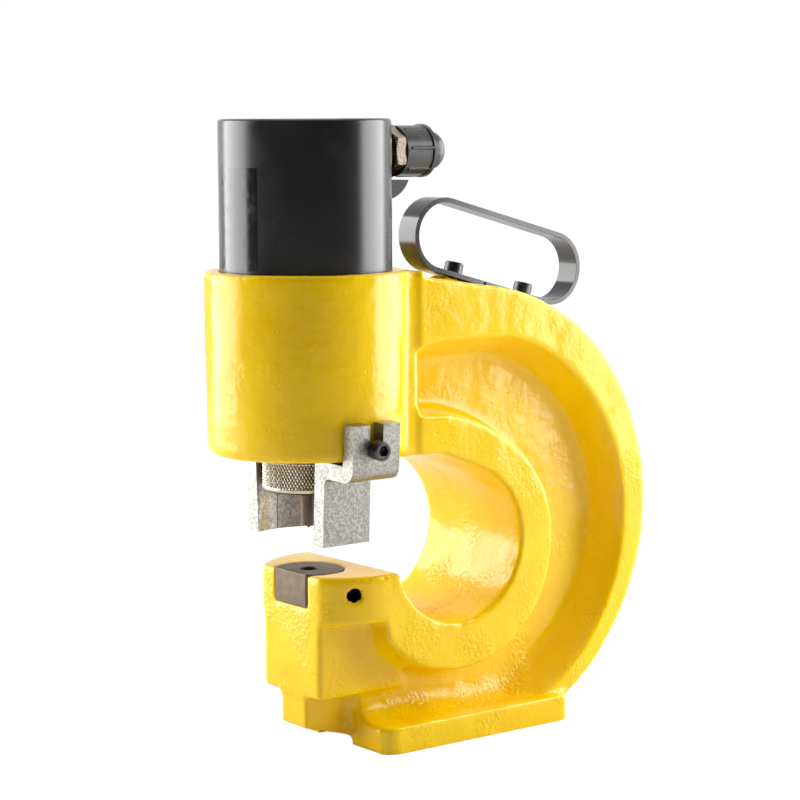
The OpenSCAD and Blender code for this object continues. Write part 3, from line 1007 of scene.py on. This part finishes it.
    def channel_front(self, former: Former) -> bpy.types.Object:
        """The solid that opens the front of the channel under the foot.

        Args:
            former: The maker of plain solids.

        Returns:
            The solid.
        """
        near_x, far_x = (self.foot_x + step for step in self.channel_skin)
        corners = ((near_x, -self.past), (far_x, -self.past), (far_x, self.channel_z),
                   (near_x, self.channel_z))
        return former.side_view("channel", corners, (-self.channel_y, self.channel_y))

    def crests(self, former: Former) -> list[bpy.types.Object]:
        """What the recess leaves standing: throat ring, head, block and lump.

        Args:
            former: The maker of plain solids, set to the side.

        Returns:
            The solids.
        """
        inside = (-self.over - self.past, self.past - self.web)
        full = (-self.far, 0.0)
        ring = former.rod("ring", self.ring, self.ring_radii, inside)
        bow = former.rod("bow", self.bow, self.bow_radii, inside)
        bow_low = self.ring[1] + self.ring_radii[0] / 2
        Former.cut(bow, "INTERSECT", former.side_view("bow_part", (
            (0.0, bow_low), (self.bow_end, bow_low), (self.bow_end, self.bow_top),
            (0.0, self.bow_top)), full))
        head = former.pillar("head", self.head_r, (self.throat[1], self.far_up))
        shoulder = former.side_view("shoulder_part", (
            (0.0, self.mouth_top), (self.slab_x, self.mouth_top), (self.slab_x, self.far_up),
            (0.0, self.far_up)), full)
        block = former.side_view("block", (
            (-self.far, self.block_z), (self.throat[0], self.block_z), self.throat,
            (-self.far, self.throat[1])), full)
        lump = former.side_view("lump", self.lump, (-self.lump_half, 0.0))
        return [ring, bow, head, shoulder, block, lump]

    def roof(self, former: Former) -> bpy.types.Object:
        """What the recess leaves standing over its sloped upper end.

        Args:
            former: The maker of plain solids, set to the side.

        Returns:
            The solid.
        """
        low, high = self.recess_top - self.recess_slope, self.recess_top + self.recess_slope
        corners = [(self.past - self.web, self.far_along), (self.past - self.web, low), (-self.web, low),
                   (-self.half_w, self.recess_top), (-self.far, high), (-self.far, self.far_along)]
        return former.prism("roof", [(-self.far, y, z) for y, z in corners], (self.far_along, 0.0, 0.0))

    def foot_solid(self, former: Former) -> bpy.types.Object:
        """The foot with the fillet that runs up to the web.

        Args:
            former: The maker of plain solids, set to the side.

        Returns:
            The solid.
        """
        top = self.foot_t + self.foot_fillet
        turns = [math.radians(90 - 90 * step / self.fillet_steps) for step in range(self.fillet_steps + 1)]
        arc = [(-self.web - self.foot_fillet * (1 - math.sin(turn)),
                self.foot_t + self.foot_fillet * (1 - math.cos(turn))) for turn in turns]
        corners = [(0.0, self.foot_low), (0.0, top), *arc, (-self.far, self.foot_t),
                   (-self.far, self.foot_low)]
        return former.prism("foot_fillet", [(0.0, y, z) for y, z in corners], (self.foot_along, 0.0, 0.0))

    def recess_solid(self, former: Former) -> bpy.types.Object:
        """The solid that one side's recess takes away.

        Args:
            former: The maker of plain solids, set to the side.

        Returns:
            The solid.
        """
        outside = (-self.over, -self.web)
        near_x = self.foot_x - self.past
        solid = former.rod("recess", self.recess, self.recess_radii, outside)
        front = former.side_view("recess_front", (
            (near_x, self.foot_t), (self.recess[0], self.foot_t), (self.recess[0], self.block_z),
            (near_x, self.block_z)), outside)
        Former.cut(solid, "UNION", front)
        return Former.cut(solid, "DIFFERENCE", *self.crests(former), self.roof(former),
                          self.foot_solid(former))

    def skin(self) -> bmesh.types.BMesh:
        """The casting's shape as an even mesh.

        Returns:
            The remeshed CAD node.
        """
        rough = Bench.finished("casting_block", Bench.merged(self.nodes["c_frame"]))
        former = Former()
        Former.cut(rough, "UNION", self.filler(former), self.shoulder(former))
        Former.cut(rough, "DIFFERENCE", self.throat_mouth(former))
        for side in (-1, 1):
            former.side = side
            Former.cut(rough, "DIFFERENCE", self.recess_solid(former))
        seat = former.pillar("seat", self.seat_r, (self.seat_z, self.far_up))
        Former.cut(rough, "DIFFERENCE", self.channel_front(former), seat)
        remesh = rough.modifiers.new("skin", "REMESH")
        remesh.mode = "VOXEL"
        remesh.voxel_size = self.voxel * MM
        bpy.context.view_layer.update()
        even = rough.evaluated_get(bpy.context.evaluated_depsgraph_get())
        mesh = bmesh.new()
        mesh.from_mesh(even.data)
        bpy.data.objects.remove(rough)
        former.clear()
        return mesh

    def swell(self, point: Vector) -> float:
        """How far the casting's wave lifts a point, in millimetres.

        Args:
            point: A vertex of the casting.

        Returns:
            The lift.
        """
        size = self.wave_size * MM
        fine = self.fine_wave * noise.noise(point / (size * self.fine_wave))
        return (noise.noise(point / size) + fine) * self.wave

    def build(self) -> None:
        """Remeshes the casting, rounds its edges and gives its faces a slight wave."""
        mesh = self.skin()
        cast = [v for v in mesh.verts if not self.is_machined(v.co)]
        Bench.softened(mesh, mesh.verts[:], self.hard_passes)
        Bench.softened(mesh, [v for v in cast if self.is_fillet(v.co)], self.fillet_passes)
        Bench.softened(mesh, cast, self.soft_passes)
        mesh.normal_update()
        front, back = (limit * MM for limit in self.reach)
        for vert in cast:
            vert.co += vert.normal * (self.swell(vert.co) * MM)
            vert.co.x = max(front, min(back, vert.co.x))
        for face in mesh.faces:
            centre = face.calc_center_median()
            in_wall = self.off_hole(centre) < self.hole_r and abs(face.normal.y) < self.hole_wall
            face.material_index = 1 if in_wall and centre.y < -self.pocket_r * MM else 0
        piece = Bench.finished("casting", mesh, 60.0)
        piece.data.materials.append(Finishes.ENAMEL.material())
        piece.data.materials.append(Finishes.SCREW.material())
        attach(piece, Body.FRAME.value)
        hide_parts("c_frame")


@dataclass
class Cylinder(Assembly):
    """The cylinder with its piston, ram and return spring.

    Sizes are in millimetres, and the plate's ends in degrees round the punch's axis.
    """

    barrel_r: float = 44.0
    plate_z: Pair = (249.0, 300.0)
    plate_turn: Pair = (156.0, 202.0)
    plate_t: float = 0.12
    plate_gap: float = 0.02
    plate_steps: int = 24

    def plate(self) -> None:
        """A blank plate, bent round the cylinder."""
        mesh = bmesh.new()
        inner = (self.barrel_r + self.plate_gap) * MM
        first, last = (math.radians(turn) for turn in self.plate_turn)
        low, high = (mesh.verts.new((inner, 0.0, height * MM)) for height in self.plate_z)
        edge = mesh.edges.new((low, high))
        bmesh.ops.spin(mesh, geom=[low, high, edge], cent=(0, 0, 0), axis=(0, 0, 1), dvec=(0, 0, 0),
                       angle=last - first, steps=self.plate_steps, use_duplicate=False)
        bmesh.ops.rotate(mesh, cent=(0, 0, 0), matrix=Matrix.Rotation(first, 3, "Z"), verts=mesh.verts)
        bmesh.ops.recalc_face_normals(mesh, faces=mesh.faces)
        sample = mesh.faces[:][0]
        if sample.normal.dot(sample.calc_center_median().xy.to_3d()) < 0:
            bmesh.ops.reverse_faces(mesh, faces=mesh.faces)
        bmesh.ops.solidify(mesh, geom=mesh.faces, thickness=-self.plate_t * MM)
        bmesh.ops.translate(mesh, vec=(AXIS_X * MM, 0, 0), verts=mesh.verts)
        piece = Bench.finished("blank_plate", mesh, 30.0)
        Finishes.PLATE.put_on(piece)
        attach(piece, Body.FRAME.value)

    def build(self) -> None:
        """Dresses the cylinder and what runs in it."""
        self.paint(Finishes.BLACK, "cylinder_barrel")
        self.paint(Finishes.BRONZE, "ram_bush")
        self.paint(Finishes.SEAL, "rod_wiper", "piston_seal")
        self.paint(Finishes.WEAR, "piston_wear_ring")
        self.paint(Finishes.BRIGHT, "piston", "ram")
        self.paint(Finishes.SCREW, "piston_screw")
        self.paint(Finishes.SPRING, "return_spring")
        self.plate()


@dataclass
class Tooling(Assembly):
    """The knurled nut, the punch, the die and its set screw, in millimetres."""

    nut_r: float = 23.5
    nut_low: float = 134.5
    nut_h: float = 17.0
    bore_r: float = 17.05
    mouth_r: float = 5.5
    floor: float = 4.5
    round_r: float = 2.5
    round_steps: int = 6
    chamfer: float = 1.0
    knurl_pitch: float = 1.8
    knurl_lean: float = math.radians(30)
    knurl_depth: float = 0.6
    knurl_gap: float = 0.24
    knurl_fade: float = 0.5
    knurl_rows: int = 60
    quick_rows: int = 14
    steps: int = 620
    quick_steps: int = 120
    hair: float = 0.05
    die_edge: float = 0.35

    def knurl(self, angle: float, height: float) -> float:
        """The depth of the diamond knurl.

        Args:
            angle: The angle round the nut, in radians.
            height: The height above the nut's underside, in millimetres.

        Returns:
            The depth under the crests, in millimetres.
        """
        teeth = round(math.tau * self.nut_r / self.knurl_pitch)
        along = angle * teeth / math.tau
        up = height * math.tan(self.knurl_lean) / self.knurl_pitch
        first = abs((along + up) % 1.0 - 0.5) * 2
        second = abs((along - up) % 1.0 - 0.5) * 2
        return self.knurl_depth * (1 - min(first, second))

    def nut_outline(self, start: float, top: float) -> list[Pair]:
        """The nut's outline, as radii and heights.

        Args:
            start: The height at which the knurl starts, in millimetres.
            top: The height at which it ends, in millimetres.

        Returns:
            The outline, from the mouth round the outside and back.
        """
        rows = self.knurl_rows
        side = [(self.nut_r, start + (top - start) * row / rows) for row in range(rows + 1)]
        turns = [math.radians(90 * step / self.round_steps - 90) for step in range(self.round_steps + 1)]
        corner = [(self.nut_r - self.round_r * (1 - math.cos(turn)), self.round_r * (1 + math.sin(turn)))
                  for turn in turns]
        return [(self.mouth_r, self.floor), (self.mouth_r, 0.0), *corner, *side,
                (self.nut_r - self.chamfer, self.nut_h), (self.bore_r, self.nut_h),
                (self.bore_r, self.floor), (self.mouth_r, self.floor)]

    def nut(self) -> None:
        """The nut, with a rolled diamond knurl."""
        top = self.nut_h - self.chamfer
        start = self.round_r + self.knurl_gap
        outline = [(radius * MM, height * MM) for radius, height in self.nut_outline(start, top)]
        mesh = Bench.turned(outline, self.steps)
        for vert in mesh.verts:
            radius = vert.co.xy.length / MM
            height = vert.co.z / MM
            if radius > self.nut_r - self.hair and start - self.hair < height < top + self.hair:
                fade = min(1.0, (height - start) / self.knurl_fade, (top - height) / self.knurl_fade)
                deep = self.knurl(math.atan2(vert.co.y, vert.co.x), height) * max(0.0, fade)
                vert.co.xy *= (radius - deep) / radius
        bmesh.ops.translate(mesh, vec=(AXIS_X * MM, 0, self.nut_low * MM), verts=mesh.verts)
        nut = Bench.finished("knurled_nut", mesh, 50.0)
        self.stand_for(nut, Body.NUT, "punch_nut", Finishes.KNURLED)

    def build(self) -> None:
        """Builds the nut and dresses the tools."""
        self.nut()
        die = Bench.bevelled(self.nodes["die"], "punch_die", self.die_edge)
        self.stand_for(die, Body.FRAME, "die", Finishes.TOOL)
        self.paint(Finishes.TOOL, "punch")
        self.paint(Finishes.SCREW, "die_set_screw")


@dataclass
class Strippers(Assembly):
    """The two bracket plates beside the punch, and their screws, with broken edges in millimetres."""

    edge: float = 0.7
    screw_edge: float = 0.3

    def build(self) -> None:
        """Breaks the brackets' edges and dresses their screws."""
        for node, name, body in (("stripper_near", "near_bracket", Body.NEAR_STRIPPER),
                                 ("stripper_far", "far_bracket", Body.FAR_STRIPPER)):
            bracket = Bench.bevelled(self.nodes[node], name, self.edge, 3)
            self.stand_for(bracket, body, node, Finishes.ZINC)
        screws = Bench.bevelled(self.nodes["stripper_screws"], "bracket_screws", self.screw_edge)
        self.stand_for(screws, Body.FRAME, "stripper_screws", Finishes.SCREW)


@dataclass
class Handle(Assembly):
    """The strap handle and its two screws, with broken edges in millimetres."""

    edge: float = 0.7
    screw_edge: float = 0.3

    def build(self) -> None:
        """Rounds the strap's edges and dresses its screws."""
        strap = Bench.bevelled(self.nodes["handle_strap"], "strap", self.edge, 3)
        self.stand_for(strap, Body.FRAME, "handle_strap", Finishes.STRAP)
        screws = Bench.bevelled(self.nodes["handle_screws"], "strap_screws", self.screw_edge)
        self.stand_for(screws, Body.FRAME, "handle_screws", Finishes.SCREW)


@dataclass
class Coupler(Assembly):
    """The oil inlet: adapter, coupler and dust cap, with broken edges in millimetres."""

    nut_edge: float = 0.3
    cap_edge: float = 0.5
    cap_angle: float = 50.0

    def build(self) -> None:
        """Breaks the coupler's edges and dresses its pieces."""
        body = Bench.bevelled(self.nodes["coupler_body"], "coupler_nut", self.nut_edge)
        self.stand_for(body, Body.FRAME, "coupler_body", Finishes.NICKEL)
        cap = Bench.bevelled(self.nodes["dust_cap"], "cap_cover", self.cap_edge, 3, self.cap_angle)
        self.stand_for(cap, Body.CAP, "dust_cap", Finishes.CAP)
        self.paint(Finishes.OXIDE, "coupler_adapter")
        self.paint(Finishes.SEAL, "coupler_seal")
        self.paint(Finishes.BRIGHT, "coupler_poppet")
        self.paint(Finishes.SPRING, "coupler_poppet_spring")


# Stage


@dataclass
class Softbox:
    """A square area lamp."""

    name: str
    place: Point
    aim: Point
    size: float
    power: float

    def build(self) -> None:
        """Hangs the lamp and turns it to its aim."""
        data = bpy.data.lights.new(self.name, "AREA")
        data.shape = "SQUARE"
        data.size = self.size
        data.energy = self.power
        lamp = bpy.data.objects.new(self.name, data)
        lamp.location = self.place
        lamp.rotation_euler = (Vector(self.aim) - Vector(self.place)).to_track_quat("-Z", "Y").to_euler()
        bpy.context.scene.collection.objects.link(lamp)


@dataclass
class Studio:
    """Camera, lamps, pale floor and white surroundings.

    Places are in metres, turns in degrees and powers in watts.
    """

    camera_at: Point = (-0.76989, -0.98107, 0.324)
    heading: Pair = (0.6088, 0.7934)
    pitch: float = 6.823
    roll: float = 0.315
    lens: float = 106.065
    sensor: float = 36.0
    clip: Pair = (0.05, 30.0)
    bright: float = 1.0
    dim: float = 0.04
    glow_from: Pair = (-0.05, 0.4)
    sky_from: Pair = (0.5, 0.9)
    sky: float = 0.7
    floor_size: float = 8.0
    floor_drop: float = 0.0002
    floor_glow: float = 1.1
    floor_tone: float = 0.72
    floor_seen: float = 0.9
    middle: Point = (0.0, 0.0, 0.15)
    throat: Point = (0.05, 0.03, 0.12)

    def axes(self) -> tuple[Vector, Vector]:
        """The level directions away from the photographer and to their right."""
        ahead = Vector((*self.heading, 0.0)).normalized()
        return ahead, Vector((ahead.y, -ahead.x, 0.0))

    def camera(self) -> None:
        """Sets the camera at the photograph's viewing angle."""
        ahead, right = self.axes()
        tilt = math.radians(self.pitch)
        look = ahead * math.cos(tilt) + Vector((0, 0, -math.sin(tilt)))
        over = right.cross(look)
        turn = math.radians(self.roll)
        side = right * math.cos(turn) - over * math.sin(turn)
        top = right * math.sin(turn) + over * math.cos(turn)
        data = bpy.data.cameras.new("camera")
        data.lens = self.lens
        data.sensor_width = self.sensor
        data.clip_start, data.clip_end = self.clip
        camera = bpy.data.objects.new("camera", data)
        rows = [(side[i], top[i], -look[i], self.camera_at[i]) for i in range(3)]
        camera.matrix_world = Matrix((*rows, (0.0, 0.0, 0.0, 1.0)))
        bpy.context.scene.collection.objects.link(camera)
        bpy.context.scene.camera = camera

    def surroundings(self) -> None:
        """White behind the object and dim on the side where the photographer stands."""
        world = bpy.data.worlds.new("studio")
        world.use_nodes = True
        shader = Shader(world.node_tree)
        way = shader.wire("ShaderNodeTexCoord", "Generated")
        behind = shader.wire("ShaderNodeVectorMath", "Value", {"operation": "DOT_PRODUCT"},
                             {0: way, 1: (*self.heading, 0.0)})
        above = shader.wire("ShaderNodeSeparateXYZ", "Z", None, {"Vector": way})
        glow = behind.step(*self.glow_from).maths("MAXIMUM", above.step(*self.sky_from) * self.sky)
        level = glow * (self.bright - self.dim) + self.dim
        seen = shader.wire("ShaderNodeLightPath", "Is Camera Ray")
        lit = shader.wire("ShaderNodeBackground", "Background", None,
                          {"Color": (1.0, 1.0, 1.0, 1.0), "Strength": level * (1.0 - seen) + seen})
        shader.node("ShaderNodeOutputWorld", None, {"Surface": lit})
        bpy.context.scene.world = world

    def floor(self) -> None:
        """A plain pale floor that keeps the object's shadow."""
        mesh = bmesh.new()
        bmesh.ops.create_grid(mesh, x_segments=1, y_segments=1, size=self.floor_size / 2)
        bmesh.ops.translate(mesh, vec=(0, 0, -self.floor_drop), verts=mesh.verts)
        piece = Bench.finished("floor", mesh)
        material = bpy.data.materials.new("pale_floor")
        material.use_nodes = True
        shader = Shader(material.node_tree)
        seen = shader.wire("ShaderNodeLightPath", "Is Camera Ray")
        cloth = shader.wire("ShaderNodeBsdfDiffuse", "BSDF", None,
                            {"Color": (self.floor_tone, self.floor_tone, self.floor_tone, 1.0)})
        glow = shader.wire("ShaderNodeEmission", "Emission", None,
                           {"Color": (1, 1, 1, 1), "Strength": self.floor_glow})
        mix = shader.wire("ShaderNodeMixShader", "Shader", None,
                          {0: seen * self.floor_seen, 1: cloth, 2: glow})
        shader.node("ShaderNodeOutputMaterial", None, {"Surface": mix})
        piece.data.materials.append(material)

    def place(self, turn: float, distance: float, height: float) -> Point:
        """A place round the object.

        Args:
            turn: Degrees from the photographer, positive to the right as they see it.
            distance: The distance from the object's middle, in metres.
            height: The height above the floor, in metres.

        Returns:
            The place.
        """
        ahead, right = self.axes()
        spot = (right * math.sin(math.radians(turn)) - ahead * math.cos(math.radians(turn))) * distance
        return spot.x, spot.y, height

    def build(self) -> None:
        """Sets the stage and the lamps."""
        bpy.context.scene.view_settings.view_transform = "Standard"
        self.camera()
        self.surroundings()
        self.floor()
        for lamp in (
            Softbox("left_softbox", self.place(-102, 1.1, 0.40), self.middle, size=1.0, power=20.0),
            Softbox("right_softbox", self.place(103, 0.66, 0.35), self.throat, size=0.66, power=8.8),
            Softbox("top_softbox", (0.2, 0.3, 1.9), self.middle, size=1.0, power=8.0),
        ):
            lamp.build()


def main() -> None:
    """Builds the studio and each sub-assembly, and logs each one as built."""
    logging.basicConfig(level=logging.INFO, format="%(name)s: %(message)s")
    nodes = frame["nodes"]
    Studio().build()
    for kind in (Casting, Cylinder, Tooling, Strippers, Handle, Coupler):
        assembly = kind(nodes)
        assembly.build()
        LOG.info("%s is built", type(assembly).__name__)
    bpy.context.view_layer.update()


if __name__ == "__main__":
    main()
